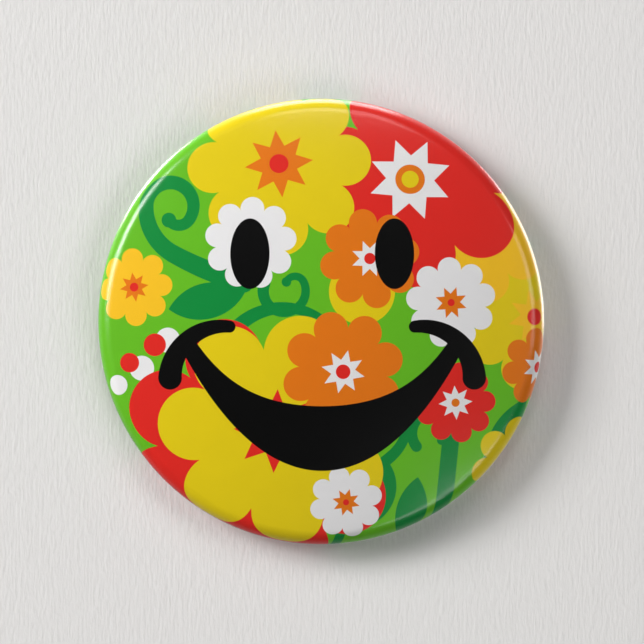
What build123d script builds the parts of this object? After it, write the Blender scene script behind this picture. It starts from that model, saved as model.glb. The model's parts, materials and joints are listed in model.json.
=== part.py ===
# A round pin-back button badge, upright, with its face towards -Y.
#
# The front is a sandwich: a pressed tinplate shell, a printed paper disc over it and a clear film over
# the paper. All three roll over behind the rim, run inwards as a flat ring and end at a lip, where the
# film and the paper are folded round the shell's edge and tucked under. A stamped back plate is
# trapped inside the roll, and its floor carries a safety pin: one sprung wire with a catch at one end
# of its fixed leg, a coil at the other, and a needle that runs back from the coil to the catch.
#
# Frame: +X is to the right seen from the front, +Z is up and +Y points at the wearer. The origin is the
# centre of the flat ring behind the rim, which lies against the cloth. Lengths are in millimetres.

from build123d import *
from math import acos, asin, cos, degrees, pi, sin
import os

# ---- the badge as a whole
badge_diameter = 57.15      # the common 2 1/4 inch size
badge_depth = 6.8           # crown to the ring that lies against the cloth
shoulder_radius = 2.4       # where the dome turns down into the side
side_height = 0.3           # straight part of the side
roll_radius = 1.2           # where the side turns behind the badge
ring_width = 3.7            # rim to the centre of the fold at the lip
tuck_length = 1.3           # how far the film and the paper run back under the shell's edge

# ---- its layers
film_thickness = 0.05
paper_thickness = 0.10
shell_thickness = 0.25
layer_gap = 0.01            # air between one layer and the next

# ---- the back plate
plate_thickness = 0.30
crown_to_floor = 4.2        # crown to the rear face of the raised floor that carries the pin
gutter_width = 3.6          # recess wall to the edge of that floor
gutter_depth = 0.75         # the gutter round the floor is this much deeper
bend_radius = 0.15          # inside radius of every bend but the rim's
lip_clearance = 0.15        # folded lip to the recess wall
rim_clearance = 0.08        # shell to the plate's turned rim
rim_overrun = 0.3           # how far the turned rim passes the start of the shoulder

# ---- the safety pin
wire_diameter = 0.9
wire_clearance = 0.03       # wire to the floor under it and to the bridges over it
wire_end_gap = 0.06         # between the ends of the wire's three pieces
pin_height = 2.0            # the coil's axis is this far above the badge's centre
coil_inset = 5.3            # edge of the floor to the coil's axis
coil_radius = 2.2           # of the wire's centreline, so the two legs are twice this apart
coil_whole_turns = 1        # before the last half turn, which brings the needle back
turn_gap = 0.05             # air between one turn of the coil and the next
coil_tail = 2.9             # straight wire from the coil to the needle's root
leg_tail = 0.6              # straight wire from the coil to the fixed leg
catch_inset = 4.3           # edge of the floor to the catch
catch_bend_radius = 1.3
catch_offset = 0.5          # the needle rests this far below the middle of the catch
catch_clearance = 0.03      # needle to the catch's lip, as the needle lifts straight out
point_overhang = 2.6        # the needle's point passes the catch by this much
point_length = 4.5          # ground taper
point_radius = 0.04

# ---- the bridges that hold the fixed leg
bridge_width = 3.2
bridge_inset = 7.2          # catch to the first bridge, and coil to the second

# ---- what follows from those: layers and plate
rim_radius = badge_diameter / 2
paper_depth = film_thickness + layer_gap
shell_depth = paper_depth + paper_thickness + layer_gap
fold_radius = shell_depth + shell_thickness / 2
lip_radius = rim_radius - ring_width
shoulder_x = rim_radius - shoulder_radius
shoulder_y = -(roll_radius + side_height)
crown_rise = badge_depth + shoulder_y
dome_radius = (shoulder_x**2 + crown_rise**2 - shoulder_radius**2) / (2 * (crown_rise - shoulder_radius))
dome_angle = degrees(asin(shoulder_x / (dome_radius - shoulder_radius)))

floor_y = crown_to_floor - badge_depth
gutter_y = floor_y - gutter_depth
flange_y = -(2 * fold_radius + layer_gap)
recess_radius = lip_radius - fold_radius - lip_clearance
floor_radius = recess_radius - gutter_width
rim_inset = shell_depth + shell_thickness + rim_clearance
plate_rim_radius = rim_radius - rim_inset
plate_rim_bend = roll_radius - rim_inset
plate_rim_end = shoulder_y - rim_overrun

# ---- and the pin
wire_radius = wire_diameter / 2
coil_turns = coil_whole_turns + 0.5
coil_pitch = wire_diameter + turn_gap
coil_x = floor_radius - coil_inset
catch_x = catch_inset - floor_radius
leg_y = floor_y + wire_clearance + wire_radius
leg_z = pin_height + coil_radius
coil_slope = coil_pitch / (2 * pi * coil_radius)    # rise of the wire for its run, which the tails keep
coil_y = leg_y + leg_tail * coil_slope
root_run = coil_tail + wire_end_gap + wire_radius
root_x = coil_x - root_run
needle_y = coil_y + coil_turns * coil_pitch + root_run * coil_slope
needle_z = pin_height - coil_radius
shank_length = root_x - catch_x + point_overhang - point_length
catch_z = needle_z + catch_offset
catch_radius = needle_y - leg_y
catch_wrap = acos((wire_diameter + catch_clearance + catch_offset) / catch_radius)


def skin(depth, folded=True):
    """The badge's outer surface moved inwards by depth, as lines from the crown to the lip or the tuck."""
    CenterArc((0, dome_radius - badge_depth), dome_radius - depth, -90, dome_angle)
    CenterArc((shoulder_x, shoulder_y), shoulder_radius - depth, dome_angle - 90, 90 - dome_angle)
    Line((rim_radius - depth, shoulder_y), (rim_radius - depth, -roll_radius))
    CenterArc((rim_radius - roll_radius, -roll_radius), roll_radius - depth, 0, 90)
    Line((rim_radius - roll_radius, -depth), (lip_radius, -depth))
    if folded:
        CenterArc((lip_radius, -fold_radius), fold_radius - depth, 90, 180)
        tuck_y = depth - 2 * fold_radius
        Line((lip_radius, tuck_y), (lip_radius + tuck_length, tuck_y))


def folded_layer(depth, thickness):
    """Half the section of a layer that is folded round the shell's edge."""
    with BuildSketch(mode=Mode.PRIVATE) as half:
        with BuildLine():
            skin(depth)
            skin(depth + thickness)
            Line((0, depth - badge_depth), (0, depth + thickness - badge_depth))
            Line(
                (lip_radius + tuck_length, depth - 2 * fold_radius),
                (lip_radius + tuck_length, depth + thickness - 2 * fold_radius),
            )
        make_face()
    return half.sketch


# ---- clear film: the outermost layer, which also makes the flat ring behind the rim
with BuildPart() as clear_film:
    add(folded_layer(0, film_thickness))
    revolve(axis=Axis.Y)

# ---- printed paper, between the film and the shell
with BuildPart() as printed_paper:
    add(folded_layer(paper_depth, paper_thickness))
    revolve(axis=Axis.Y)

# ---- pressed shell, with a rounded edge at the lip
with BuildPart() as front_shell:
    with BuildSketch():
        with BuildLine():
            skin(shell_depth, folded=False)
            skin(shell_depth + shell_thickness, folded=False)
            Line((0, shell_depth - badge_depth), (0, shell_depth + shell_thickness - badge_depth))
            CenterArc((lip_radius, -fold_radius), shell_thickness / 2, 90, 180)
        make_face()
    revolve(axis=Axis.Y)

# ---- back plate: raised floor, gutter, recess wall, flange under the fold and turned rim
with BuildPart() as back_plate:
    with BuildSketch():
        with BuildLine():
            outer_bend = bend_radius + plate_thickness
            rear = FilletPolyline(
                (0, floor_y),
                (floor_radius, floor_y),
                (floor_radius, gutter_y),
                (recess_radius, gutter_y),
                (recess_radius, flange_y),
                (plate_rim_radius, flange_y),
                (plate_rim_radius, plate_rim_end),
                radius=(outer_bend, bend_radius, bend_radius, outer_bend, plate_rim_bend),
            )
            front = FilletPolyline(
                (0, floor_y - plate_thickness),
                (floor_radius - plate_thickness, floor_y - plate_thickness),
                (floor_radius - plate_thickness, gutter_y - plate_thickness),
                (recess_radius + plate_thickness, gutter_y - plate_thickness),
                (recess_radius + plate_thickness, flange_y - plate_thickness),
                (plate_rim_radius - plate_thickness, flange_y - plate_thickness),
                (plate_rim_radius - plate_thickness, plate_rim_end),
                radius=(bend_radius, outer_bend, outer_bend, bend_radius, plate_rim_bend - plate_thickness),
            )
            Line(rear @ 0, front @ 0)
            Line(rear @ 1, front @ 1)
        make_face()
    revolve(axis=Axis.Y)

    # two bridges lanced out of the floor, each an arch over the fixed leg with its slot beneath
    arch_inside = wire_radius + wire_clearance
    arch_outside = arch_inside + plate_thickness
    foot_y = floor_y - plate_thickness
    for place in (catch_x + bridge_inset, coil_x - bridge_inset):
        start = Plane.YZ.offset(place - bridge_width / 2)
        for half_width, mode in ((arch_outside, Mode.ADD), (arch_inside, Mode.SUBTRACT)):
            with BuildSketch(start):
                with Locations((leg_y, leg_z)):
                    Circle(half_width)
                with Locations((foot_y, leg_z)):
                    Rectangle(leg_y - foot_y, 2 * half_width, align=(Align.MIN, Align.CENTER))
            extrude(amount=bridge_width, mode=mode)

# ---- fixed leg of the pin: it lies on the floor, turns down past the needle and curls round it
with BuildPart() as pin_fixed_leg:
    with BuildLine() as leg_route:
        straight = FilletPolyline(
            (coil_x - leg_tail - wire_end_gap, leg_y, leg_z),
            (catch_x, leg_y, leg_z),
            (catch_x, leg_y, catch_z),
            radius=catch_bend_radius,
        )
        lip_y = needle_y + catch_radius * sin(catch_wrap)
        lip_z = catch_z - catch_radius * cos(catch_wrap)
        TangentArc(straight @ 1, (catch_x, lip_y, lip_z), tangent=straight % 1)
    with BuildSketch(Plane(leg_route.line @ 0, z_dir=leg_route.line % 0)):
        Circle(wire_radius)
    sweep()
    with Locations(leg_route.line @ 1):
        Sphere(wire_radius)

# ---- coil of the pin, with a short straight tail at each end
with BuildPart() as pin_coil:
    with BuildLine():
        coil = Helix(
            coil_pitch,
            coil_turns * coil_pitch,
            coil_radius,
            center=(coil_x, coil_y, pin_height),
            direction=(0, 1, 0),
        )
        leg_end = (coil_x - leg_tail, leg_y, leg_z)
        needle_end = (coil_x - coil_tail, needle_y - (root_run - coil_tail) * coil_slope, needle_z)
        Line(leg_end, coil @ 0)
        Line(coil @ 1, needle_end)
    with BuildSketch(Plane(leg_end, z_dir=coil % 0)):
        Circle(wire_radius)
    sweep()

# ---- needle: a ball at its root, a straight shank and a ground point
with BuildPart() as pin_needle:
    with BuildSketch(Plane((root_x, needle_y, needle_z), x_dir=(-1, 0, 0), z_dir=(0, -1, 0))):
        with BuildLine():
            CenterArc((0, 0), wire_radius, 90, 90)
            Polyline(
                (0, wire_radius),
                (shank_length, wire_radius),
                (shank_length + point_length, point_radius),
                (shank_length + point_length, 0),
                (-wire_radius, 0),
            )
        make_face()
    revolve(axis=Axis((root_x, needle_y, needle_z), (1, 0, 0)))

pieces = {
    "clear_film": clear_film,
    "printed_paper": printed_paper,
    "front_shell": front_shell,
    "back_plate": back_plate,
    "pin_fixed_leg": pin_fixed_leg,
    "pin_coil": pin_coil,
    "pin_needle": pin_needle,
}
os.makedirs("parts", exist_ok=True)
for name, piece in pieces.items():
    piece.part.label = name
    export_step(piece.part, f"parts/{name}.step")

# where the joints and the mounts are
print(f"coil axis      x {coil_x:.4f}  y {coil_y:.4f}  z {pin_height:.4f}")
print(f"needle root    x {root_x:.4f}  y {needle_y:.4f}  z {needle_z:.4f}  shank {shank_length:.4f}")
print(f"cloth ring     radius {lip_radius:.4f} to {rim_radius - roll_radius:.4f}")
print(f"catch          wraps {degrees(catch_wrap):.1f} degrees past the needle")
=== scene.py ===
"""A pin-back button badge, dressed for the studio.

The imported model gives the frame: where the rim, the back plate, the coil and the needle are. This file
builds the layers that show (clear film, printed paper, the sprung wire), prints the face, finishes the
tinplate and the nickel, and sets up a pale wall, a floor and soft lights. Lengths in a name or a field that
ends in _mm are millimetres, and so are all places and sizes on the paper; every mesh is in metres.
"""

import json
import logging
import math
from dataclasses import dataclass, field
from enum import Enum
from typing import Any, Iterable, Protocol, Sequence

import bpy
import numpy as np
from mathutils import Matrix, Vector


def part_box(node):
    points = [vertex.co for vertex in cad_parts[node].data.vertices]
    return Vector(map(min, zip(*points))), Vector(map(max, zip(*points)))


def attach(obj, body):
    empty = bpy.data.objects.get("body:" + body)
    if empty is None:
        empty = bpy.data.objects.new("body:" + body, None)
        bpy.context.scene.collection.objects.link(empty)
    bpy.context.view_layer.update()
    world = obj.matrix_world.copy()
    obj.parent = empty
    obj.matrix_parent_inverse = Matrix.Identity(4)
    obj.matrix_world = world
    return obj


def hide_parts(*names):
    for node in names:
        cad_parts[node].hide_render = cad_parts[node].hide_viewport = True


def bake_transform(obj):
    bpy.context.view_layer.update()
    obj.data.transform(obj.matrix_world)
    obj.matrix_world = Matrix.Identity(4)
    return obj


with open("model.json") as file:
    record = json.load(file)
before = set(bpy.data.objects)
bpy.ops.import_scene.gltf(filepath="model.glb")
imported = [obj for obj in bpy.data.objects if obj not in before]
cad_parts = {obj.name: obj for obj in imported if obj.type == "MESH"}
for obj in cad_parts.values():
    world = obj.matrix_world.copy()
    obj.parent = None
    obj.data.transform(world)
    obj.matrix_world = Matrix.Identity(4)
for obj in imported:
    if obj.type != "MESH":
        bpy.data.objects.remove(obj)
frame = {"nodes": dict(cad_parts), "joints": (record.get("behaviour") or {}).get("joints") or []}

LOG = logging.getLogger("button_badge")
MM = 0.001
FULL_TURN = 2 * math.pi
INK_EDGE_MM = 0.035         # how soft the edge between two inks is
STAR_POINTS = 8
STAR_WAIST = 0.55           # a flower's star between its points, over its reach
BUD_SHARE = 0.68            # the bud's radius over the width of the tendril that it ends

Point = tuple[float, float]
Span = tuple[float, float]
Triple = tuple[float, float, float]
Arrays = tuple[np.ndarray, np.ndarray]
Socket = bpy.types.NodeSocket


# ---------------------------------------------------------------------------- shader maths


class Nodes:
    """A node tree that is written afresh."""

    def __init__(self, tree: bpy.types.NodeTree) -> None:
        """Empties the tree."""
        self.tree = tree
        tree.nodes.clear()

    def node(
        self,
        kind: str,
        settings: dict[str, Any] | None = None,
        sockets: dict[str | int, Any] | None = None,
    ) -> bpy.types.Node:
        """Adds any node.

        Args:
            kind: the node's type.
            settings: its own settings, set before its sockets.
            sockets: a value, a Value or an output socket for each input, by name or number.

        Returns:
            The new node.
        """
        node = self.tree.nodes.new(kind)
        for name, setting in (settings or {}).items():
            setattr(node, name, setting)
        for key, given in (sockets or {}).items():
            self.feed(node.inputs[key], given)
        return node

    def feed(self, target: Socket, given: Any) -> None:
        """Links an output to an input, or sets the input's own value.

        Args:
            target: the input.
            given: a Value, an output socket or a plain value.
        """
        source = given.socket if isinstance(given, Value) else given
        if isinstance(source, Socket):
            self.tree.links.new(source, target)
        else:
            target.default_value = source

    def place(self, attribute: str | None = None) -> tuple["Value", "Value", "Value"]:
        """Where a point of the surface is, in millimetres.

        Args:
            attribute: a vector stored on the mesh in millimetres; without it, the object's own frame.

        Returns:
            The three coordinates.
        """
        if attribute is None:
            own = self.node("ShaderNodeTexCoord").outputs["Object"]
            scaled = self.node("ShaderNodeVectorMath", {"operation": "SCALE"}, {0: own, "Scale": 1 / MM})
            vector = scaled.outputs[0]
        else:
            vector = self.node("ShaderNodeAttribute", {"attribute_name": attribute}).outputs["Vector"]
        split = self.node("ShaderNodeSeparateXYZ", sockets={0: vector})
        return tuple(Value(self, output) for output in split.outputs)

    def vector(self, x: Any, y: Any, z: Any = 0.0) -> Socket:
        """A vector socket from three values."""
        return self.node("ShaderNodeCombineXYZ", sockets={0: x, 1: y, 2: z}).outputs[0]

    def noise(self, where: Sequence[Any], scale: float, detail: float = 3.0) -> "Value":
        """Smooth noise between 0 and 1.

        Args:
            where: the coordinates that it is read at.
            scale: blotches for each millimetre, nearly.
            detail: how many finer octaves it has.

        Returns:
            The noise.
        """
        sockets = {"Vector": self.vector(*where), "Scale": scale, "Detail": detail}
        return Value(self, self.node("ShaderNodeTexNoise", {"noise_dimensions": "3D"}, sockets).outputs[0])

    def mixed(self, share: Any, below: Any, above: Any) -> Socket:
        """A colour socket: above over below, where share is 1."""
        mix = self.node("ShaderNodeMix", {"data_type": "RGBA"}, {0: share, 6: below, 7: above})
        return mix.outputs[2]

    def blended(self, share: Any, below: Socket, above: Socket) -> Socket:
        """A shader socket: above over below, where share is 1."""
        return self.node("ShaderNodeMixShader", sockets={0: share, 1: below, 2: above}).outputs[0]

    def bump(self, height: "Value", depth_mm: float) -> Socket:
        """A normal socket from a height between 0 and 1 that stands for depth_mm."""
        sockets = {"Height": height, "Distance": depth_mm * MM, "Strength": 1.0}
        return self.node("ShaderNodeBump", sockets=sockets).outputs[0]


class Finish(Nodes):
    """One material and the nodes that a finish is written in."""

    def __init__(self, name: str) -> None:
        """Makes an empty material.

        Args:
            name: the material's name.
        """
        self.material = bpy.data.materials.new(name)
        self.material.use_nodes = True
        super().__init__(self.material.node_tree)

    def principled(self, sockets: dict[str, Any]) -> Socket:
        """A Principled shader with these sockets."""
        return self.node("ShaderNodeBsdfPrincipled", sockets=sockets).outputs[0]

    def surface(self, shader: Socket) -> bpy.types.Material:
        """Sends a shader to the material's output and returns the material."""
        self.node("ShaderNodeOutputMaterial", sockets={"Surface": shader})
        return self.material


@dataclass(frozen=True)
class Value:
    """A number that a socket gives, which plain Python expressions can work on."""

    nodes: Nodes
    socket: Socket

    def maths(self, operation: str, *others: Any, clamp: bool = False, first: Any = None) -> "Value":
        """Adds a Math node.

        Args:
            operation: what the node does.
            others: its other inputs.
            clamp: whether the result is held between 0 and 1.
            first: what goes before this value, for a reflected operation.

        Returns:
            The node's result.
        """
        given = [self, *others] if first is None else [first, self]
        settings = {"operation": operation, "use_clamp": clamp}
        node = self.nodes.node("ShaderNodeMath", settings, dict(enumerate(given)))
        return Value(self.nodes, node.outputs[0])

    def __add__(self, other: Any) -> "Value":
        """This plus other."""
        return self.maths("ADD", other)

    __radd__ = __add__

    def __sub__(self, other: Any) -> "Value":
        """This less other."""
        return self.maths("SUBTRACT", other)

    def __rsub__(self, other: Any) -> "Value":
        """Other less this."""
        return self.maths("SUBTRACT", first=other)

    def __mul__(self, other: Any) -> "Value":
        """This times other."""
        return self.maths("MULTIPLY", other)

    __rmul__ = __mul__

    def __abs__(self) -> "Value":
        """The size of this."""
        return self.maths("ABSOLUTE")

    def held(self, low: float = 0.0, high: float = 1.0) -> "Value":
        """This held between two limits."""
        return self.maths("MAXIMUM", low).maths("MINIMUM", high)

    def least(self, other: Any) -> "Value":
        """The smaller of the two."""
        return self.maths("MINIMUM", other)

    def most(self, other: Any) -> "Value":
        """The larger of the two."""
        return self.maths("MAXIMUM", other)

    def wrapped(self, low: float, high: float) -> "Value":
        """This brought between two limits by whole steps of their difference."""
        return self.maths("WRAP", high, low)

    def sine(self) -> "Value":
        """The sine of this angle."""
        return self.maths("SINE")

    def cosine(self) -> "Value":
        """The cosine of this angle."""
        return self.maths("COSINE")

    def angle_over(self, run: "Value") -> "Value":
        """The angle of the point whose height is this and whose run is given."""
        return self.maths("ARCTAN2", run)

    def with_leg(self, other: "Value") -> "Value":
        """Measures the long side of a right triangle.

        Args:
            other: its other short side; this is the first.

        Returns:
            The long side.
        """
        legs = {0: self.nodes.vector(self, other)}
        length = self.nodes.node("ShaderNodeVectorMath", {"operation": "LENGTH"}, legs)
        return Value(self.nodes, length.outputs["Value"])

    def inside(self) -> "Value":
        """1 where this distance in millimetres is above 0, with a soft edge."""
        return self.maths("MULTIPLY_ADD", 1 / INK_EDGE_MM, 0.5, clamp=True)

    def ramp(self, start: float, end: float) -> "Value":
        """0 where this is at start or before and 1 at end or after, straight in between."""
        return self.maths("MULTIPLY_ADD", 1 / (end - start), -start / (end - start), clamp=True)


# ---------------------------------------------------------------------------- the print


class Ink(Enum):
    """The flat inks of the print, as linear red, green and blue."""

    GREEN = (0.145, 0.520, 0.018)
    LEAF = (0.005, 0.270, 0.049)
    YELLOW = (0.815, 0.625, 0.009)
    AMBER = (0.960, 0.560, 0.020)
    ORANGE = (0.820, 0.200, 0.009)
    RED = (0.785, 0.025, 0.018)
    WHITE = (0.860, 0.840, 0.835)
    BLACK = (0.0012, 0.0012, 0.0012)


@dataclass(frozen=True)
class Spot:
    """A place on the flat paper, across and up from its middle."""

    across: Value
    up: Value

    def past(self, at: Point) -> tuple[Value, Value]:
        """How far across and how far up the place is from a point."""
        return self.across - at[0], self.up - at[1]

    def sector(self, at: Point, count: int, turn: float) -> tuple[Value, Value]:
        """Folds the paper round a centre into one of count equal sectors.

        Args:
            at: the centre.
            count: how many sectors there are.
            turn: the middle of one sector, in degrees.

        Returns:
            The distance along the sector's middle line, and the distance off it.
        """
        run, rise = self.past(at)
        half = math.pi / count
        folded = (rise.angle_over(run) - math.radians(turn)).wrapped(-half, half)
        reach = run.with_leg(rise)
        return reach * folded.cosine(), reach * folded.sine()


class Motif(Protocol):
    """A flat shape of one ink."""

    ink: Ink

    def mask(self, spot: Spot) -> Value:
        """1 inside the shape and 0 outside it."""


@dataclass(frozen=True)
class Bloom:
    """A flower head of round petals that overlap."""

    at: Point
    reach: float
    petals: int
    ink: Ink
    turn: float = 0.0
    plump: float = 1.02     # petal radius over the half distance between two petals

    def mask(self, spot: Spot) -> Value:
        """Draws the petals and the heart that they meet in.

        Args:
            spot: the place on the paper.

        Returns:
            1 inside the flower head.
        """
        share = self.plump * math.sin(math.pi / self.petals)
        ring = self.reach / (1 + share)
        along, off = spot.sector(self.at, self.petals, self.turn)
        petal = ring * share - (along - ring).with_leg(off)
        heart = ring * math.cos(math.pi / self.petals) - along
        return petal.most(heart).inside()


@dataclass(frozen=True)
class Burst:
    """A star of straight-sided points."""

    at: Point
    reach: float
    waist: float
    points: int
    ink: Ink
    turn: float = 0.0

    def mask(self, spot: Spot) -> Value:
        """Draws the two sides of each point.

        Args:
            spot: the place on the paper.

        Returns:
            1 inside the star.
        """
        along, off = spot.sector(self.at, self.points, self.turn)
        half = math.pi / self.points
        valley = (self.waist * math.cos(half), self.waist * math.sin(half))
        side = math.hypot(self.reach - valley[0], valley[1])
        lean, slope = valley[1] / side, (self.reach - valley[0]) / side
        return (self.reach * lean - (along * lean + abs(off) * slope)).inside()


@dataclass(frozen=True)
class Dot:
    """A disc, or an upright ellipse."""

    at: Point
    radius: float           # half its width
    ink: Ink
    tall: float = 1.0       # its height over its width

    def mask(self, spot: Spot) -> Value:
        """1 inside the disc."""
        run, rise = spot.past(self.at)
        return (self.radius - run.with_leg(rise * (1 / self.tall))).inside()


@dataclass(frozen=True)
class Stroke:
    """A straight stem with round ends."""

    start: Point
    end: Point
    width: float
    ink: Ink = Ink.LEAF

    def mask(self, spot: Spot) -> Value:
        """Draws the stem round its middle line.

        Args:
            spot: the place on the paper.

        Returns:
            1 inside the stem.
        """
        length = math.dist(self.start, self.end)
        x, y = ((b - a) / length for a, b in zip(self.start, self.end))
        run, rise = spot.past(self.start)
        along = run * x + rise * y
        past = along - along.held(0.0, length)
        off = rise * x - run * y
        return (self.width / 2 - past.with_leg(off)).inside()


@dataclass(frozen=True)
class Bow:
    """Part of a ring with round ends, which may swell towards one of them."""

    at: Point
    radius: float
    middle: float       # degrees, where the middle of the bow is
    spread: float       # degrees, from its middle to each end
    width: float        # at its middle
    swell: float = 0.0  # how much wider its anticlockwise end is than the other
    ink: Ink = Ink.LEAF

    def mask(self, spot: Spot) -> Value:
        """Draws the bow round its middle line.

        Args:
            spot: the place on the paper.

        Returns:
            1 inside the bow.
        """
        along, off = spot.sector(self.at, 1, self.middle)
        spread = math.radians(self.spread)
        nearest = off.angle_over(along).held(-spread, spread)
        gap = (along - nearest.cosine() * self.radius).with_leg(off - nearest.sine() * self.radius)
        return (nearest * (self.swell / (4 * spread)) + self.width / 2 - gap).inside()


@dataclass(frozen=True)
class Leaf:
    """A pointed leaf between two round sides."""

    at: Point
    length: float
    width: float
    turn: float
    ink: Ink = Ink.LEAF

    def mask(self, spot: Spot) -> Value:
        """Draws what both round sides enclose.

        Args:
            spot: the place on the paper.

        Returns:
            1 inside the leaf.
        """
        half, belly = self.length / 2, self.width / 2
        radius = (half**2 + belly**2) / (2 * belly)
        along, off = spot.sector(self.at, 1, self.turn)
        return (radius - along.with_leg(abs(off) + (radius - belly))).inside()


def flower(
    at: Point,
    reach: float,
    petals: int,
    inks: tuple[Ink, Ink, Ink],
    star: float,
    turn: float = 0.0,
    eye_share: float = 0.3,
) -> list[Motif]:
    """A bloom with a star and a disc in its middle.

    Args:
        at: its centre.
        reach: its radius.
        petals: how many petals it has.
        inks: petals, star and disc.
        star: the star's radius.
        turn: degrees that the bloom is turned by; its star turns twice as far.
        eye_share: the disc's radius over the star's.

    Returns:
        The motifs, from the back to the front.
    """
    return [
        Bloom(at, reach, petals, inks[0], turn),
        Burst(at, star, star * STAR_WAIST, STAR_POINTS, inks[1], turn * 2),
        Dot(at, star * eye_share, inks[2]),
    ]


def round_point(centre: Point, radius: float, degrees: float) -> Point:
    """The point of a circle in this direction."""
    angle = math.radians(degrees)
    return centre[0] + radius * math.cos(angle), centre[1] + radius * math.sin(angle)


def tendril(start: Point, heading: float, widths: Span, bends: Sequence[tuple[float, float]]) -> list[Motif]:
    """A stem of arcs that run on smoothly from each other and end in a bud.

    Args:
        start: where it sets out.
        heading: the direction that it sets out in, in degrees.
        widths: its width at its start and at its end.
        bends: the radius of each arc and the degrees that it turns through, positive to the left.

    Returns:
        The motifs, from the start to the bud.
    """
    length = sum(radius * abs(turn) for radius, turn in bends)
    motifs: list[Motif] = []
    at, run = start, 0.0
    for radius, turn in bends:
        side = math.copysign(1.0, turn)
        centre = round_point(at, radius, heading + side * 90)
        first = widths[0] + (widths[1] - widths[0]) * run / length
        run += radius * abs(turn)
        last = widths[0] + (widths[1] - widths[0]) * run / length
        middle = heading - side * 90 + turn / 2
        motifs.append(Bow(centre, radius, middle, abs(turn) / 2, (first + last) / 2, (last - first) * side))
        heading += turn
        at = round_point(centre, radius, heading - side * 90)
    return [*motifs, Dot(at, widths[1] * BUD_SHARE, Ink.LEAF)]


def leafy_ground() -> list[Motif]:
    """Lays out what is behind the flowers.

    Returns:
        The stems, tendrils, leaves and berries, from the back to the front.
    """
    stems = [
        *tendril((-9.9, 5.0), 165.0, (2.7, 1.4), [(40, -14.0), (7.0, -61.0), (3.1, -215.0), (1.6, -110.0)]),
        *tendril((-13.6, -4.4), 48.0, (2.1, 1.0), [(22.0, 8.0), (8.4, -112.0)]),
        *tendril((-7.2, 4.8), 250.0, (1.5, 0.9), [(2.7, 226.0), (1.2, 130.0)]),
        *tendril((4.6, -20.4), 30.0, (1.7, 1.2), [(26.0, 12.0), (6.4, 46.0)]),
        *tendril((12.2, -16.0), 128.0, (1.4, 0.9), [(2.7, -214.0), (1.1, -120.0)]),
        Stroke((16.9, -12.0), (14.9, -34.0), 2.2),
        Stroke((2.9, -26.0), (0.6, -34.0), 1.2),
    ]
    leaves = [
        Leaf((-14.6, 2.6), 10.0, 4.6, 12.0),
        Leaf((-11.4, -2.2), 8.2, 4.6, 338.0),
        Leaf((7.0, -22.4), 9.0, 4.8, 66.0),
        Leaf((11.6, -24.6), 9.4, 4.0, 80.0),
        Leaf((24.0, -14.6), 11.0, 4.2, 60.0),
        Leaf((0.6, 29.6), 6.6, 3.0, 100.0),
    ]
    berries = [
        Dot((-19.6, -2.4), 1.6, Ink.WHITE),
        Dot((-21.3, -3.0), 1.45, Ink.RED),
        Dot((-23.0, -6.0), 1.6, Ink.WHITE),
        Dot((-24.6, -5.3), 1.25, Ink.RED),
        Dot((-26.2, -8.2), 1.3, Ink.WHITE),
    ]
    return stems + leaves + berries


def flower_bed() -> list[Motif]:
    """Lays out the flowers.

    Returns:
        Their motifs, from the back to the front.
    """
    big = [
        Bloom((-8.2, -16.8), 17.8, 8, Ink.RED, 19.0),
        *flower((-5.8, -14.0), 15.2, 7, (Ink.YELLOW, Ink.RED, Ink.ORANGE), 5.4, 21.0),
        *flower((26.0, -19.0), 6.6, 8, (Ink.YELLOW, Ink.ORANGE, Ink.RED), 2.6, 5.0),
        *flower((27.6, 0.6), 9.6, 8, (Ink.YELLOW, Ink.AMBER, Ink.RED), 3.6, 30.0),
        Bloom((20.6, 11.4), 9.0, 7, Ink.AMBER, 20.0),
        Dot((5.2, 3.8), 4.2, Ink.YELLOW),
        Bloom((12.6, 18.6), 14.4, 7, Ink.RED, 14.0),
        *flower((-5.4, 20.2), 11.8, 8, (Ink.YELLOW, Ink.ORANGE, Ink.RED), 4.4, 3.0, 0.28),
        Burst((11.4, 18.2), 5.4, 3.1, STAR_POINTS, Ink.WHITE, 20.0),
        Dot((11.4, 18.2), 1.9, Ink.ORANGE),
        Dot((11.4, 18.2), 1.1, Ink.YELLOW),
    ]
    small = [
        *flower((-9.0, 10.0), 5.9, 9, (Ink.WHITE, Ink.ORANGE, Ink.RED), 2.2, 7.0),
        *flower((6.2, 8.0), 6.4, 8, (Ink.ORANGE, Ink.WHITE, Ink.RED), 2.4, 11.0),
        *flower((-24.0, 4.4), 5.0, 8, (Ink.AMBER, Ink.ORANGE, Ink.RED), 1.9, 4.0),
        *flower((28.4, -6.0), 5.2, 8, (Ink.ORANGE, Ink.WHITE, Ink.RED), 2.4, 9.0),
        *flower((17.2, -10.4), 5.2, 9, (Ink.RED, Ink.WHITE, Ink.ORANGE), 2.2, 2.0, 0.24),
        *flower((16.6, 2.4), 5.8, 9, (Ink.WHITE, Ink.ORANGE, Ink.RED), 2.1, 13.0, 0.22),
        *flower((2.8, -6.4), 7.8, 8, (Ink.ORANGE, Ink.WHITE, Ink.RED), 2.8, 16.0, 0.33),
        *flower((3.2, -23.2), 4.7, 8, (Ink.WHITE, Ink.ORANGE, Ink.RED), 1.8, 15.0, 0.22),
    ]
    return big + small


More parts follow.
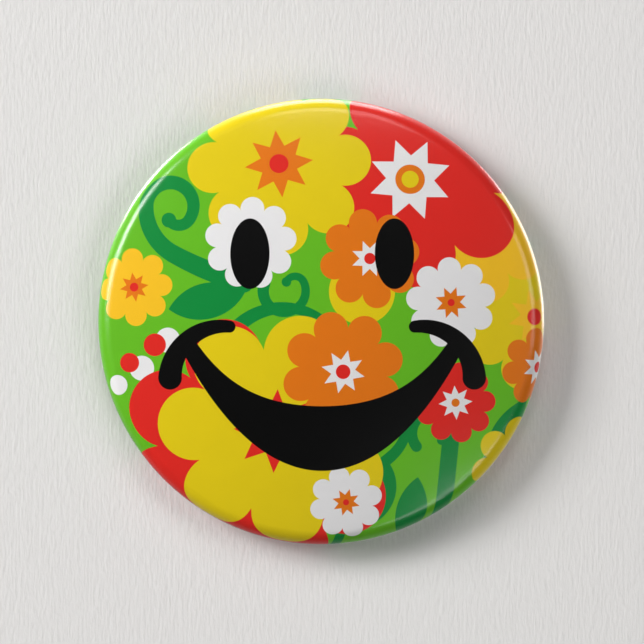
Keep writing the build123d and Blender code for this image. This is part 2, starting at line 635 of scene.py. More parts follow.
@dataclass(frozen=True)
class Smile:
    """A plain smile: a wide mouth, and an oval and a short bow on each side of it."""

    ink: Ink = Ink.BLACK
    middle: float = 0.14
    stations: Triple = (0.0, 8.0, 15.5)         # out from the middle
    upper: Triple = (-10.79, -9.42, -3.44)      # heights of the mouth's upper line at the stations
    lower: Triple = (-19.11, -16.25, -7.82)     # heights of its lower line there
    corner: Point = (12.6, -7.5)                # centre of its round end and of the bow, out and up
    corner_radius: float = 6.88
    eye: Point = (9.21, 8.63)                   # centre of the oval, out and up
    eye_radius: float = 2.51
    eye_tall: float = 4.51 / 2.51
    bow_lean: float = 40.4                      # degrees from upright to the bow's middle
    bow_spread: float = 47.1
    bow_width: float = 2.30
    bow_swell: float = 1.52                     # towards its outer end

    def _height(self, heights: Triple, run_squared: Value) -> Value:
        """Draws a smooth line through three heights.

        Args:
            heights: where it passes each station.
            run_squared: the square of the distance out from the middle.

        Returns:
            The line's height there.
        """
        powers = [[1.0, station**2, station**4] for station in self.stations]
        level, bend, more = (float(factor) for factor in np.linalg.solve(powers, heights))
        return (run_squared * more + bend) * run_squared + level

    def mask(self, spot: Spot) -> Value:
        """Draws the mouth: what lies between its two lines and inside its round ends.

        Args:
            spot: the place on the paper.

        Returns:
            1 inside the mouth.
        """
        run = spot.across - self.middle
        squared = run * run
        under = self._height(self.upper, squared) - spot.up
        above = spot.up - self._height(self.lower, squared)
        past = (abs(run) - self.corner[0]).most(0.0).with_leg((spot.up - self.corner[1]).most(0.0))
        return under.least(above).least(self.corner_radius - past).inside()

    def motifs(self) -> list[Motif]:
        """Draws the smile.

        Returns:
            The mouth, then the oval and the bow of each side.
        """
        motifs: list[Motif] = [self]
        for side in (-1, 1):
            eye, end = ((self.middle + side * out, up) for out, up in (self.eye, self.corner))
            lean, swell = 90 - side * self.bow_lean, -side * self.bow_swell
            motifs.append(Dot(eye, self.eye_radius, self.ink, self.eye_tall))
            bow = Bow(end, self.corner_radius, lean, self.bow_spread, self.bow_width, swell, self.ink)
            motifs.append(bow)
        return motifs


@dataclass(frozen=True)
class PrintedPaper:
    """Coated paper, printed in flat inks edge to edge."""

    attribute: str = "paper_mm"
    roughness: Span = (0.34, 0.50)          # between the fibres and on them
    sheen: float = 0.05                     # how much the coating mirrors
    speckle: float = 0.05                   # how much the ink's tone wanders
    speckle_shares: Span = (0.6, 0.8)       # how much of that is fibre and how much is cloud
    fibres_per_mm: float = 9.0
    clouds_per_mm: float = 0.35
    tooth_mm: float = 0.006                 # how far the fibres stand out

    def material(self) -> bpy.types.Material:
        """Builds the print.

        Returns:
            The paper's material.
        """
        finish = Finish("printed_paper")
        across, up, _ = finish.place(self.attribute)
        colour: Any = (*Ink.GREEN.value, 1.0)
        for motif in (*leafy_ground(), *flower_bed(), *Smile().motifs()):
            colour = finish.mixed(motif.mask(Spot(across, up)), colour, (*motif.ink.value, 1.0))

        fibre = finish.noise((across, up), self.fibres_per_mm, 4.0)
        cloud = finish.noise((across, up), self.clouds_per_mm, 2.0)
        wander = fibre * self.speckle_shares[0] + cloud * self.speckle_shares[1]
        tone = 1 - self.speckle + wander * self.speckle
        multiply = {"data_type": "RGBA", "blend_type": "MULTIPLY"}
        grey = finish.vector(tone, tone, tone)
        toned = finish.node("ShaderNodeMix", multiply, {0: 1.0, 6: colour, 7: grey})
        smooth, rough = self.roughness
        return finish.surface(finish.principled({
            "Base Color": toned.outputs[2],
            "Roughness": smooth + fibre * (rough - smooth),
            "Specular IOR Level": self.sheen,
            "Normal": finish.bump(fibre, self.tooth_mm),
        }))


@dataclass(frozen=True)
class ClearFilm:
    """Clear polyester: it mirrors a little, and the rest passes through."""

    refraction: float = 1.5
    tint: Triple = (0.995, 0.998, 1.0)
    roughness: float = 0.19
    haze: float = 0.05                  # how much rougher its cloudy patches are
    rubbed: float = 0.08                # how much rougher its scratches are
    haze_per_mm: float = 0.22
    scratches_per_mm: float = 1.5
    scratch_range: Span = (0.6, 0.78)   # of the noise that the scratches are cut from
    ripples_per_mm: float = 0.5
    ripple_mm: float = 0.012

    def material(self) -> bpy.types.Material:
        """Builds the film.

        Returns:
            The film's material.
        """
        finish = Finish("clear_film")
        x, y, z = finish.place()
        drawn_out = (x * 0.12 + z * 0.05, y, z * 2.6 - x * 0.9)
        scratches = finish.noise(drawn_out, self.scratches_per_mm, 5.0).ramp(*self.scratch_range)
        haze = finish.noise((x, y, z), self.haze_per_mm)
        ripple = finish.noise((x, y, z), self.ripples_per_mm, 1.0)
        gloss = finish.node(
            "ShaderNodeBsdfAnisotropic",
            sockets={
                "Color": (1.0, 1.0, 1.0, 1.0),
                "Roughness": self.roughness + haze * self.haze + scratches * self.rubbed,
                "Normal": finish.bump(ripple, self.ripple_mm),
            },
        )
        clear = finish.node("ShaderNodeBsdfTransparent", sockets={"Color": (*self.tint, 1.0)})
        mirror = Value(finish, finish.node("ShaderNodeFresnel", sockets={"IOR": self.refraction}).outputs[0])
        behind = Value(finish, finish.node("ShaderNodeNewGeometry").outputs["Backfacing"])
        return finish.surface(finish.blended(mirror * (1 - behind), clear.outputs[0], gloss.outputs[0]))


@dataclass(frozen=True)
class Tinplate:
    """Bright rolled steel sheet with a fine grain and painted shade in its gutter's corners, rubbed along
    its bends.
    """

    name: str
    tone: Triple = (0.63, 0.63, 0.62)
    roughness: float = 0.27
    gutter_mm: Span = (0.0, 0.0)        # radii that the gutter runs between
    corner_mm: float = 0.9              # how far the painted shade reaches from a corner, on the gutter's floor
    ledge_mm: Span = (0.3, 0.6)         # how far it reaches beyond the gutter, inward and outward
    grain_per_mm: float = 9.0
    fine_per_mm: float = 22.0
    stains_per_mm: float = 0.16
    scratches_per_mm: float = 3.2
    grain_mm: float = 0.006

    def _painted_corner_shade(self, reach: Value) -> Value:
        """Finds the painted shade in the gutter's two corners.

        Args:
            reach: the distance from the badge's middle.

        Returns:
            How deep the painted shade is there, from 0 to 1.
        """
        inner, outer = (reach - edge for edge in self.gutter_mm)
        at_outer = outer.ramp(-self.corner_mm, 0.0) * outer.ramp(self.ledge_mm[1], 0.0)
        return at_outer.most(inner.ramp(self.corner_mm, 0.0) * inner.ramp(-self.ledge_mm[0], 0.0))

    def material(self) -> bpy.types.Material:
        """Builds the tinplate.

        Returns:
            The sheet's material.
        """
        finish = Finish(self.name)
        x, y, z = finish.place()
        grain = finish.noise((x * 0.06, y, z), self.grain_per_mm, 5.0)
        fine = finish.noise((x * 0.25, y, z * 1.4), self.fine_per_mm, 2.0)
        stain = finish.noise((x, y, z), self.stains_per_mm, 4.0)
        drawn_out = (x * 0.9 + z * 0.5, y, z * 0.06 - x * 0.03)
        scratch = finish.noise(drawn_out, self.scratches_per_mm, 4.0).ramp(0.64, 0.7)
        # painted shade: the sheet is darker in the gutter's corners, in patches, and rougher there as well
        corner_shade = self._painted_corner_shade(x.with_leg(z)) * stain.ramp(0.2, 0.7)
        # grain and stains are the sheet's own tone; the darkening in the corners is painted shade
        shade = 0.9 + grain * 0.1 + stain * 0.08 - corner_shade * 0.34
        return finish.surface(finish.principled({
            "Base Color": finish.vector(*(channel * shade for channel in self.tone)),
            "Metallic": 1.0,
            "Roughness": self.roughness + grain * 0.12 + stain * 0.1 + corner_shade * 0.25 - scratch * 0.08,
            "Normal": finish.bump(grain * 0.6 + fine * 0.25 - scratch * 0.5, self.grain_mm),
        }))


@dataclass(frozen=True)
class NickelWire:
    """Nickel-plated spring wire, with faint lines along it from the die."""

    attribute: str = "wire_mm"
    tone: Triple = (0.72, 0.70, 0.66)
    roughness: float = 0.14
    drawn_per_mm: float = 4.0
    wear_per_mm: float = 0.9
    drawn_mm: float = 0.004     # how deep the lines are

    def material(self) -> bpy.types.Material:
        """Builds the plating.

        Returns:
            The wire's material.
        """
        finish = Finish("nickel_wire")
        along, around, depth = finish.place(self.attribute)
        drawn = finish.noise((along * 0.12, around * 3.0, depth * 3.0), self.drawn_per_mm, 4.0)
        wear = finish.noise((along * 0.7, around, depth), self.wear_per_mm)
        shade = 0.86 + drawn * 0.12 + wear * 0.1
        return finish.surface(finish.principled({
            "Base Color": finish.vector(*(channel * shade for channel in self.tone)),
            "Metallic": 1.0,
            "Roughness": self.roughness + drawn * 0.1 + wear * 0.1,
            "Normal": finish.bump(drawn, self.drawn_mm),
        }))


# ---------------------------------------------------------------------------- meshes


def make_piece(
    name: str,
    points: np.ndarray,
    faces: Iterable[Sequence[int]],
    material: bpy.types.Material,
    stored: dict[str, np.ndarray] | None = None,
    sharp_degrees: float = 50.0,
) -> bpy.types.Object:
    """Makes a smooth-shaded object from points in metres.

    Args:
        name: the object's name.
        points: its vertices.
        faces: the vertex numbers of each face.
        material: its finish.
        stored: vectors to keep on the vertices, by attribute name.
        sharp_degrees: edges that bend more than this are shaded sharp.

    Returns:
        The object, linked to the scene.
    """
    mesh = bpy.data.meshes.new(name)
    mesh.from_pydata(points.tolist(), [], list(faces))
    mesh.shade_smooth()
    mesh.set_sharp_from_angle(angle=math.radians(sharp_degrees))
    for attribute, vectors in (stored or {}).items():
        layer = mesh.attributes.new(attribute, "FLOAT_VECTOR", "POINT")
        layer.data.foreach_set("vector", np.asarray(vectors, np.float32).ravel())
    mesh.materials.append(material)
    mesh.validate()
    piece = bpy.data.objects.new(name, mesh)
    bpy.context.scene.collection.objects.link(piece)
    return piece


@dataclass(frozen=True)
class Station:
    """A place on the badge's outermost skin in section, in millimetres."""

    radius: float
    depth: float        # along +Y
    lean: float         # its outward direction: 0 is forward, a quarter turn outward, a half turn back
    run: float          # length of skin from the crown to here


@dataclass
class Skin:
    """The badge's outermost surface in section, from the crown round the rim to the end of the tuck."""

    shoulder_mm: float = 2.4
    side_mm: float = 0.3
    roll_mm: float = 1.2
    ring_mm: float = 3.7
    fold_mm: float = 0.295
    tuck_mm: float = 1.3
    rim: float = field(init=False)
    depth: float = field(init=False)
    lip: float = field(init=False)
    stations: list[Station] = field(init=False, default_factory=list)
    steps: tuple[int, ...] = (16, 18, 2, 12, 9, 10, 3)      # dome, shoulder, side, roll, ring, fold, tuck

    def __post_init__(self) -> None:
        """Takes the rim's radius and the badge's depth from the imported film, and traces the section."""
        low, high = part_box("clear_film")
        self.rim = (high.x - low.x) / 2 / MM
        self.depth = (high.y - low.y) / MM
        self.lip = self.rim - self.ring_mm
        self._trace()

    def _arc(self, centre: Point, radius: float, start: float, end: float, steps: int) -> None:
        """Adds an arc.

        Args:
            centre: the radius and the depth of its centre.
            radius: its own radius.
            start: the lean that it starts with, in radians.
            end: the lean that it ends with.
            steps: how many stations it adds.
        """
        for step in range(1, steps + 1):
            lean = start + (end - start) * step / steps
            self._add(centre[0] + radius * math.sin(lean), centre[1] - radius * math.cos(lean), lean)

    def _add(self, radius: float, depth: float, lean: float) -> None:
        """Adds one station after the last.

        Args:
            radius: how far it is from the badge's axis.
            depth: how far back it is.
            lean: the skin's outward direction there.
        """
        last = self.stations[-1]
        run = last.run + math.dist((last.radius, last.depth), (radius, depth))
        self.stations.append(Station(radius, depth, lean, run))

    def _line(self, end: Point, steps: int) -> None:
        """Adds a straight stretch, with the lean that it starts with.

        Args:
            end: the radius and the depth that it leads to.
            steps: how many stations it adds.
        """
        last = self.stations[-1]
        for step in range(1, steps + 1):
            share = step / steps
            radius = last.radius + (end[0] - last.radius) * share
            self._add(radius, last.depth + (end[1] - last.depth) * share, last.lean)

    def _trace(self) -> None:
        """Works out the dome that meets the shoulder smoothly, then follows the section round."""
        shoulder = (self.rim - self.shoulder_mm, -(self.roll_mm + self.side_mm))
        rise = self.depth + shoulder[1]
        dome = (shoulder[0] ** 2 + rise**2 - self.shoulder_mm**2) / (2 * (rise - self.shoulder_mm))
        edge = math.asin(shoulder[0] / (dome - self.shoulder_mm))
        crown, bend, side, roll, ring, fold, tuck = self.steps
        self.stations.append(Station(0.0, -self.depth, 0.0, 0.0))
        self._arc((0.0, dome - self.depth), dome, 0.0, edge, crown)
        self._arc(shoulder, self.shoulder_mm, edge, math.pi / 2, bend)
        self._line((self.rim, -self.roll_mm), side)
        self._arc((self.rim - self.roll_mm, -self.roll_mm), self.roll_mm, math.pi / 2, math.pi, roll)
        self._line((self.lip, 0.0), ring)
        self._arc((self.lip, -self.fold_mm), self.fold_mm, math.pi, FULL_TURN, fold)
        self._line((self.lip + self.tuck_mm, -2 * self.fold_mm), tuck)


@dataclass
class Gathers:
    """Small pleats where the film and the paper are drawn in over the lip."""

    skin: Skin
    segments: int
    count: int = 84
    height_mm: float = 0.055
    seed: int = 11
    wander: float = 0.36                # how far a pleat is off its even place, in spacings
    tall: Span = (0.25, 1.0)            # the lowest and the highest pleat, in height_mm
    wide: Span = (0.16, 0.3)            # the narrowest and the widest, in spacings
    growth: float = 1.6                 # how late the pleats rise on their way in
    fade: float = 1.2                   # how soon they flatten in the fold
    around: np.ndarray = field(init=False)

    def __post_init__(self) -> None:
        """Draws the pleats' places and sizes."""
        rng = np.random.default_rng(self.seed)
        spacing = FULL_TURN / self.count
        places = (np.arange(self.count) + rng.uniform(-self.wander, self.wander, self.count)) * spacing
        heights = rng.uniform(*self.tall, self.count)
        widths = rng.uniform(*self.wide, self.count) * spacing
        around = np.arange(self.segments) * FULL_TURN / self.segments
        gap = (around[:, None] - places[None, :] + math.pi) % FULL_TURN - math.pi
        self.around = (heights * np.exp(-((gap / widths) ** 2))).sum(axis=1)

    def rise(self, station: Station) -> np.ndarray:
        """Finds how far the pleats stand out.

        Args:
            station: where in the section.

        Returns:
            The millimetres for each vertex round the badge.
        """
        ring_start = self.skin.rim - self.skin.roll_mm
        grows = np.clip((ring_start - station.radius) / (ring_start - self.skin.lip), 0, 1) ** self.growth
        tucked = np.clip((station.lean - math.pi) / math.pi, 0, 1)
        behind = 1.0 if station.lean >= math.pi - 1e-6 else 0.0
        return self.height_mm * behind * grows * (1 - tucked) ** self.fade * self.around


@dataclass
class SkinLayer:
    """A closed layer of the badge's wrapping, between two depths below the outermost surface."""

    skin: Skin
    gathers: Gathers
    outer_mm: float
    inner_mm: float

    def _ring(self, station: Station, depth_mm: float) -> Arrays:
        """Works out one ring of the layer.

        Args:
            station: where in the section.
            depth_mm: how far it is below the outermost surface.

        Returns:
            Its points in metres, and their places on the flat paper in millimetres.
        """
        out = self.gathers.rise(station) - depth_mm
        radius = station.radius + out * math.sin(station.lean)
        depth = station.depth - out * math.cos(station.lean)
        angles = np.arange(self.gathers.segments) * FULL_TURN / self.gathers.segments
        cos, sin = np.cos(angles), np.sin(angles)
        points = np.stack([radius * cos, np.broadcast_to(depth, cos.shape), radius * sin], axis=1) * MM
        paper = np.stack([station.run * cos, station.run * sin, np.zeros_like(cos)], axis=1)
        return points, paper

    def build(self, name: str, material: bpy.types.Material) -> bpy.types.Object:
        """Builds the layer.

        Args:
            name: the object's name.
            material: its finish.

        Returns:
            The object.
        """
        outer = [(s, self.outer_mm) for s in self.skin.stations[1:]]
        inner = [(s, self.inner_mm) for s in reversed(self.skin.stations[1:])]
        crown = self.skin.stations[0]
        poles = [(0.0, crown.depth + depth_mm, 0.0) for depth_mm in (self.outer_mm, self.inner_mm)]
        points, paper = [np.array(poles) * MM], [np.zeros((2, 3))]
        for station, depth_mm in outer + inner:
            ring, place = self._ring(station, depth_mm)
            points.append(ring)
            paper.append(place)
        count, rings = self.gathers.segments, len(outer) + len(inner)
        faces: list[Sequence[int]] = []
        for j in range(count):
            k = (j + 1) % count
            faces.append((0, 2 + j, 2 + k))
            last = 2 + (rings - 1) * count
            faces.append((1, last + k, last + j))
            for i in range(rings - 1):
                a, b = 2 + i * count, 2 + (i + 1) * count
                faces.append((a + j, b + j, b + k, a + k))
        stored = {PrintedPaper.attribute: np.concatenate(paper)}
        return make_piece(name, np.concatenate(points), faces, material, stored)


@dataclass
class Wrapping:
    """The film and the printed paper, drawn over the shell and tucked in behind."""

    film_mm: Span = (0.0, 0.05)
    paper_mm: Span = (0.06, 0.16)
    segments: int = 640
    body: str = "badge"

    def build(self) -> None:
        """Builds both layers."""
        skin = Skin()
        gathers = Gathers(skin, self.segments)
        plans = (
            ("printed_face", "printed_paper", self.paper_mm, PrintedPaper().material()),
            ("glossy_film", "clear_film", self.film_mm, ClearFilm().material()),
        )
        for name, node, (outer, inner), material in plans:
            piece = SkinLayer(skin, gathers, outer, inner).build(name, material)
            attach(piece, self.body)
            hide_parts(node)
            LOG.info("%s: %d faces, in place of %s", name, len(piece.data.polygons), node)


@dataclass
class Sheetwork:
    """The pressed shell and the back plate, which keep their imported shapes."""

    gutter_mm: Span = (20.5, 24.4)

    def build(self) -> None:
        """Gives both their finish."""
        finishes = {
            "front_shell": Tinplate("shell_tinplate"),
            "back_plate": Tinplate("back_tinplate", gutter_mm=self.gutter_mm),
        }
        for node, finish in finishes.items():
            mesh = frame["nodes"][node].data
            mesh.materials.clear()
            mesh.materials.append(finish.material())
            LOG.info("%s: tinplate", node)


@dataclass
class SpringPin:
    """The safety pin: one wire, from the catch along the fixed leg, round the coil and out to the point."""

    sides: int = 24
    catch_bend_mm: float = 1.3
    coil_pitch_mm: float = 0.95
    coil_turns: float = 1.5
    leg_tail_mm: float = 0.6
    point_mm: float = 4.5
    point_radius_mm: float = 0.03
    taper: float = 1.12         # above 1, the point is fuller than a cone
    flex_mm: float = 5.0        # length of needle next to the coil, laid out as a stretch of its own
    hand_over: Triple = (0.3, 0.0, -0.95)   # a way across the coil, from the fixed leg's side
    hand_over_share: float = 0.96           # of the way to the parting
    catch_steps: int = 30
    corner_steps: int = 16
    leg_steps: int = 26
    coil_steps: int = 109
    tail_steps: int = 10
    needle_steps: tuple[int, int, int] = (30, 20, 16)       # next to the coil, its plain length, its point
    end_steps: int = 5                      # rings in the catch's rounded tip
    end_flat: float = 0.35                  # of a ring, left flat at its very end
    sharp_degrees: float = 60.0
    wire_slot: str = "nickel_wire"

    def __post_init__(self) -> None:
        """Reads the wire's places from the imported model, in millimetres."""
        joints = {joint["name"]: Vector(joint["pos_m"]) / MM for joint in frame["joints"]}
        self.coil, self.root = joints["needle_squeeze"], joints["needle_lift"]
        leg_low, leg_high = (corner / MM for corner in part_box("pin_fixed_leg"))
        needle_low, needle_high = (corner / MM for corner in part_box("pin_needle"))
        self.radius = (needle_high.z - needle_low.z) / 2
        self.leg_z = leg_high.z - self.radius
        self.tip_x = needle_low.x
        self.catch_x = leg_low.x + self.radius
        self.coil_radius = self.leg_z - self.coil.z
        self.slope = self.coil_pitch_mm / (FULL_TURN * self.coil_radius)
        self.leg_y = self.coil.y - self.leg_tail_mm * self.slope
        self.catch_radius = self.root.y - self.leg_y
        self.catch_z = leg_low.z + self.radius + self.catch_radius
        self.lip_rise = leg_high.y - self.radius - self.root.y

    def _catch(self) -> list[Vector]:
        """Lays out the catch.

        Returns:
            Its centreline, from the rounded tip, round the needle and up to the fixed leg.
        """
        wrap = math.asin(self.lip_rise / self.catch_radius)
        around = [
            Vector((
                self.catch_x,
                self.root.y + self.catch_radius * math.sin(angle),
                self.catch_z - self.catch_radius * math.cos(angle),
            ))
            for angle in np.linspace(wrap, -math.pi / 2, self.catch_steps)
        ]
        bend = self.catch_bend_mm
        centre = Vector((self.catch_x + bend, self.leg_y, self.leg_z - bend))
        corner = [
            centre + Vector((-bend * math.cos(angle), 0.0, bend * math.sin(angle)))
            for angle in np.linspace(0.0, math.pi / 2, self.corner_steps)
        ]
        return around + corner

    def _coil_point(self, angle: float) -> Vector:
        """A point of the coil, with the angle counted from the fixed leg's side in radians."""
        along, radius = self.coil_pitch_mm * angle / FULL_TURN, self.coil_radius
        return self.coil + Vector((radius * math.sin(angle), along, radius * math.cos(angle)))

    def _route(self) -> tuple[list[Vector], list[float], int]:
        """Lays out the whole wire.

        Returns:
            Its centreline, its radius at each point, and the point where the two pieces part.
        """
        start = Vector((self.coil.x - self.leg_tail_mm, self.leg_y, self.leg_z))
        leg_start = Vector((self.catch_x + self.catch_bend_mm, self.leg_y, self.leg_z))
        leg = [leg_start.lerp(start, share) for share in np.linspace(0.0, 1.0, self.leg_steps)[1:]]
        angles = np.linspace(0.0, self.coil_turns * FULL_TURN, self.coil_steps)
        coil = [self._coil_point(angle) for angle in angles]
        run_in = self._catch() + leg
        parting = len(run_in) + int(np.argmin(abs(angles - math.pi)))
        tail = [coil[-1].lerp(self.root, share) for share in np.linspace(0.0, 1.0, self.tail_steps)[1:]]
        shank_end = self.tip_x + self.point_mm
        stops = (self.root.x, self.root.x - self.flex_mm, shank_end, self.tip_x)
        flexing, plain, point = (
            list(np.linspace(start, end, steps)[1:])
            for start, end, steps in zip(stops, stops[1:], self.needle_steps)
        )
        needle = [Vector((x, self.root.y, self.root.z)) for x in flexing + plain + point]
        route = run_in + coil + tail + needle
        radii = [self.radius] * (len(route) - len(point))
        for x in point:
            share = (shank_end - x) / self.point_mm
            radii.append(self.radius + (self.point_radius_mm - self.radius) * share**self.taper)
        return route, radii, parting

    def _rings(self, route: list[Vector], radii: list[float]) -> Arrays:
        """Works out rings of points round the wire.

        Args:
            route: the wire's centreline.
            radii: its radius at each point of that.

        Returns:
            The rings, and where each point is along and round the wire, both in millimetres.
        """
        tangents = []
        for i in range(len(route)):
            before, after = route[max(i - 1, 0)], route[min(i + 1, len(route) - 1)]
            tangents.append((after - before).normalized())
        side = tangents[0].orthogonal().normalized()
        run, last, rings, places = 0.0, route[0], [], []
        for centre, tangent, radius in zip(route, tangents, radii):
            side = (side - tangent * side.dot(tangent)).normalized()
            up = tangent.cross(side)
            run, last = run + (centre - last).length, centre
            for step in range(self.sides):
                angle = FULL_TURN * step / self.sides
                rings.append(centre + (side * math.cos(angle) + up * math.sin(angle)) * radius)
                places.append((run, math.cos(angle), math.sin(angle)))
        shape = (len(route), self.sides, 3)
        return np.array(rings).reshape(shape), np.array(places).reshape(shape)

    def _rounded(self, rings: np.ndarray, places: np.ndarray, centre: Vector, outward: Vector) -> Arrays:
        """Adds half a ball before the first ring.

        Args:
            rings: the wire's rings.
            places: where their points are along and round the wire.
            centre: the middle of the first ring.
            outward: the direction that the wire ends in.

        Returns:
            The longer rings and places.
        """
        balls = []
        for step in range(self.end_steps, 0, -1):
            angle = math.pi / 2 * step / (self.end_steps + self.end_flat)
            shrunk = np.array(centre) + (rings[0] - np.array(centre)) * math.cos(angle)
            balls.append(shrunk + np.array(outward) * self.radius * math.sin(angle))
        start = np.repeat(places[:1], self.end_steps, 0)
        return np.concatenate([np.array(balls), rings]), np.concatenate([start, places])

    def _tube(
        self, name: str, rings: np.ndarray, places: np.ndarray, material: bpy.types.Material
    ) -> bpy.types.Object:
        """Builds a closed tube.

        Args:
            name: the object's name.
            rings: the rings of points that it passes through.
            places: where those are along and round the wire.
            material: its finish.

        Returns:
            The object.
        """
        count, sides = len(rings), self.sides
        faces: list[Sequence[int]] = [tuple(reversed(range(sides)))]
        for i in range(count - 1):
            for j in range(sides):
                k = (j + 1) % sides
                a, b = i * sides, (i + 1) * sides
                faces.append((a + j, a + k, b + k, b + j))
        faces.append(tuple((count - 1) * sides + j for j in range(sides)))
        stored = {NickelWire.attribute: places.reshape(-1, 3)}
        return make_piece(name, rings.reshape(-1, 3) * MM, faces, material, stored, self.sharp_degrees)

    def build(self) -> None:
        """Builds the wire as two pieces that part inside the coil."""
        route, radii, parting = self._route()
        rings, places = self._rings(route, radii)
        material = NickelWire().material()
        outward = (route[0] - route[1]).normalized()
        near = slice(parting + 1)
        leg = self._tube(
            "catch_and_leg_wire", *self._rounded(rings[near], places[near], route[0], outward), material
        )
        lean = Vector(self.hand_over).normalized()
        first, last = self._coil_point(0.0), self._coil_point(math.pi)
        taken_up = first + lean * (last - first).dot(lean) * self.hand_over_share
        first * MM
        taken_up * MM
        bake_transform(leg)
        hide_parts("pin_fixed_leg")

        needle = self._tube("coil_and_needle_wire", rings[parting:], places[parting:], material)
        flexed = self.root + Vector((-self.flex_mm, 0.0, 0.0))
        self.root * MM
        flexed * MM
        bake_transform(needle)
        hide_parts("pin_coil", "pin_needle")
        for piece in (leg, needle):
            LOG.info("%s: %d faces", piece.name, len(piece.data.polygons))


# ---------------------------------------------------------------------------- studio


@dataclass(frozen=True)
class SoftLight:
    """A square lamp that looks at the badge."""

    name: str
    at: Triple      # metres
    size: float
    watts: float

    def build(self) -> None:
        """Hangs the lamp."""
        lamp = bpy.data.lights.new(self.name, "AREA")
        lamp.size, lamp.energy = self.size, self.watts
        holder = bpy.data.objects.new(self.name, lamp)
        holder.location = self.at
        holder.rotation_euler = (-Vector(self.at)).to_track_quat("-Z", "Y").to_euler()
        bpy.context.scene.collection.objects.link(holder)


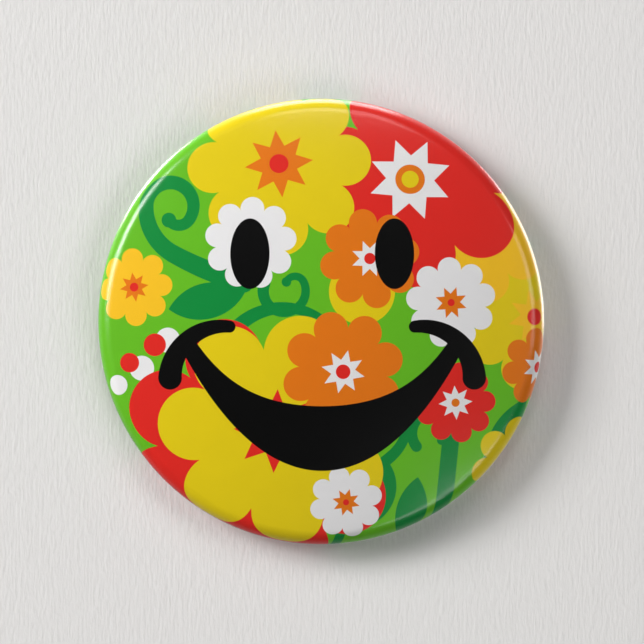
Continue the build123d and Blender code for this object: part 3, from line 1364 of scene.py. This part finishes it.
@dataclass
class Studio:
    """A pale wall just behind the badge, a floor under it, soft lights and the camera.

    The wall is clear from behind and to light straight from a lamp, so that the lamps behind it reach the
    badge's back. The floor is seen by the camera alone, so that it throws nothing on the face.
    """

    distance: float = 0.6           # camera to the origin
    view_width_mm: float = 82.5     # what the picture takes in at the rim
    off_centre_mm: Point = (0.115, -0.075)
    sensor_mm: float = 36.0
    wall_gap_mm: float = 0.25       # behind the furthest part of the pin
    half_wide: float = 1.6
    wall_top: float = 1.2
    floor_z: float = -0.40
    floor_front: float = -0.8
    wall_tone: Triple = (0.80, 0.785, 0.77)
    floor_tone: Triple = (0.52, 0.51, 0.50)
    dim_tone: Triple = (0.05, 0.05, 0.05)
    lit_tone: Triple = (0.62, 0.62, 0.61)
    card_variation: float = 0.05    # how much the card's tone wanders
    card_roughness: float = 0.9
    card_sheen: float = 0.1
    laid_per_mm: float = 2.6        # the card's upright lines
    felt_per_mm: float = 1.1        # and its blotches
    laid_share: float = 0.6
    weave_mm: float = 0.13          # how deep both are
    lit_height: Span = (-0.6, 0.5)  # between these heights of a direction the room gets lighter
    lit_low: float = 0.4            # how light it is below, over how light it is above
    lit_depth: Span = (0.05, 0.35)  # between these depths of a direction it turns from dim to lit
    lights: tuple[SoftLight, ...] = (
        SoftLight("key", (-0.72, -0.50, 0.45), 0.34, 6.0),
        SoftLight("key_side", (-0.80, -0.50, 0.22), 0.34, 2.7),
        SoftLight("key_low", (-0.88, -0.34, 0.20), 0.30, 1.3),
        SoftLight("top_fill", (0.06, -0.66, 0.64), 0.40, 1.7),
        SoftLight("right_fill", (0.68, -0.62, 0.10), 0.36, 1.2),
        SoftLight("low_fill", (0.40, -0.64, -0.52), 0.40, 1.6),
        SoftLight("back_left", (-0.55, 0.62, 0.45), 0.30, 4.5),
        SoftLight("back_right", (0.60, 0.55, 0.20), 0.45, 3.0),
        SoftLight("back_top", (0.0, 0.55, 1.30), 0.90, 16.0),
    )

    def _sheet(self, name: str, corners: Sequence[Triple], one_sided: bool) -> None:
        """Adds one flat sheet of the stage.

        Args:
            name: the object's name.
            corners: its four corners in order.
            one_sided: whether it is the wall, which is clear from behind.
        """
        mesh = bpy.data.meshes.new(name)
        mesh.from_pydata(corners, [], [(0, 1, 2, 3)])
        paint = self.wall_tone if one_sided else self.floor_tone
        mesh.materials.append(self._card(f"{name}_card", paint, one_sided))
        sheet = bpy.data.objects.new(name, mesh)
        bpy.context.scene.collection.objects.link(sheet)

    def _card(self, name: str, paint: Triple, one_sided: bool) -> bpy.types.Material:
        """Makes pale laid card.

        Args:
            name: the material's name.
            paint: the card's colour.
            one_sided: whether it is clear from behind, and solid to light that has met something.

        Returns:
            The card's material.
        """
        finish = Finish(name)
        x, y, z = finish.place()
        laid = finish.noise((x, y, z * 0.22), self.laid_per_mm)
        felt = finish.noise((x, y, z), self.felt_per_mm, 4.0)
        weave = laid * self.laid_share + felt * (1 - self.laid_share)
        tone = 1 - self.card_variation / 2 + weave * self.card_variation
        card = finish.principled({
            "Base Color": finish.vector(*(tone * channel for channel in paint)),
            "Roughness": self.card_roughness,
            "Specular IOR Level": self.card_sheen,
            "Normal": finish.bump(weave, self.weave_mm),
        })
        path = finish.node("ShaderNodeLightPath").outputs
        solid = Value(finish, path["Is Camera Ray"])
        if one_sided:
            behind = Value(finish, finish.node("ShaderNodeNewGeometry").outputs["Backfacing"])
            solid = (solid * (1 - behind)).most(Value(finish, path["Diffuse Depth"])).held()
        clear = finish.node("ShaderNodeBsdfTransparent").outputs[0]
        return finish.surface(finish.blended(solid, clear, card))

    def _camera(self) -> None:
        """Puts the camera straight in front of the face."""
        scene = bpy.context.scene
        camera = bpy.data.cameras.new("camera")
        to_rim = self.distance - Skin.roll_mm * MM
        camera.sensor_width = self.sensor_mm
        camera.lens = self.sensor_mm * to_rim / (self.view_width_mm * MM)
        camera.clip_start, camera.clip_end = 0.01, 20.0
        holder = bpy.data.objects.new("camera", camera)
        holder.location = (self.off_centre_mm[0] * MM, -self.distance, self.off_centre_mm[1] * MM)
        holder.rotation_euler = (math.pi / 2, 0.0, 0.0)
        scene.collection.objects.link(holder)
        scene.camera = holder

    def _surroundings(self) -> None:
        """A room that is dim in front of the badge, light behind it, and pale where the camera sees it."""
        world = bpy.data.worlds.new("studio")
        bpy.context.scene.world = world
        world.use_nodes = True
        room = Nodes(world.node_tree)
        direction = room.node("ShaderNodeTexCoord").outputs["Generated"]
        split = room.node("ShaderNodeSeparateXYZ", sockets={0: direction})
        above = Value(room, split.outputs[2]).ramp(*self.lit_height) * (1 - self.lit_low) + self.lit_low
        behind = Value(room, split.outputs[1]).ramp(*self.lit_depth) * above
        tone = room.mixed(behind, (*self.dim_tone, 1.0), (*self.lit_tone, 1.0))
        around = room.node("ShaderNodeBackground", sockets={"Color": tone}).outputs[0]
        pale = room.node("ShaderNodeBackground", sockets={"Color": (*self.wall_tone, 1.0)}).outputs[0]
        straight = room.node("ShaderNodeLightPath").outputs["Is Camera Ray"]
        room.node("ShaderNodeOutputWorld", sockets={"Surface": room.blended(straight, around, pale)})

    def build(self) -> None:
        """Builds the stage, the lights and the camera."""
        bpy.context.scene.view_settings.view_transform = "Standard"
        wall_y = max(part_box(node)[1].y for node in frame["nodes"]) + self.wall_gap_mm * MM
        wide, high, low, front = self.half_wide, self.wall_top, self.floor_z, self.floor_front
        wall = [(-wide, wall_y, low), (wide, wall_y, low), (wide, wall_y, high), (-wide, wall_y, high)]
        floor = [(-wide, front, low), (wide, front, low), (wide, wide, low), (-wide, wide, low)]
        self._sheet("wall", wall, True)
        self._sheet("floor", floor, False)
        for light in self.lights:
            light.build()
        self._camera()
        self._surroundings()
        LOG.info("studio: wall at y = %.2f mm, %d lights", wall_y / MM, len(self.lights))


def main() -> None:
    """Builds everything in order."""
    logging.basicConfig(level=logging.INFO, format="%(name)s: %(message)s")
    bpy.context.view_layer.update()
    Studio().build()
    Wrapping().build()
    Sheetwork().build()
    SpringPin().build()


if __name__ == "__main__":
    main()
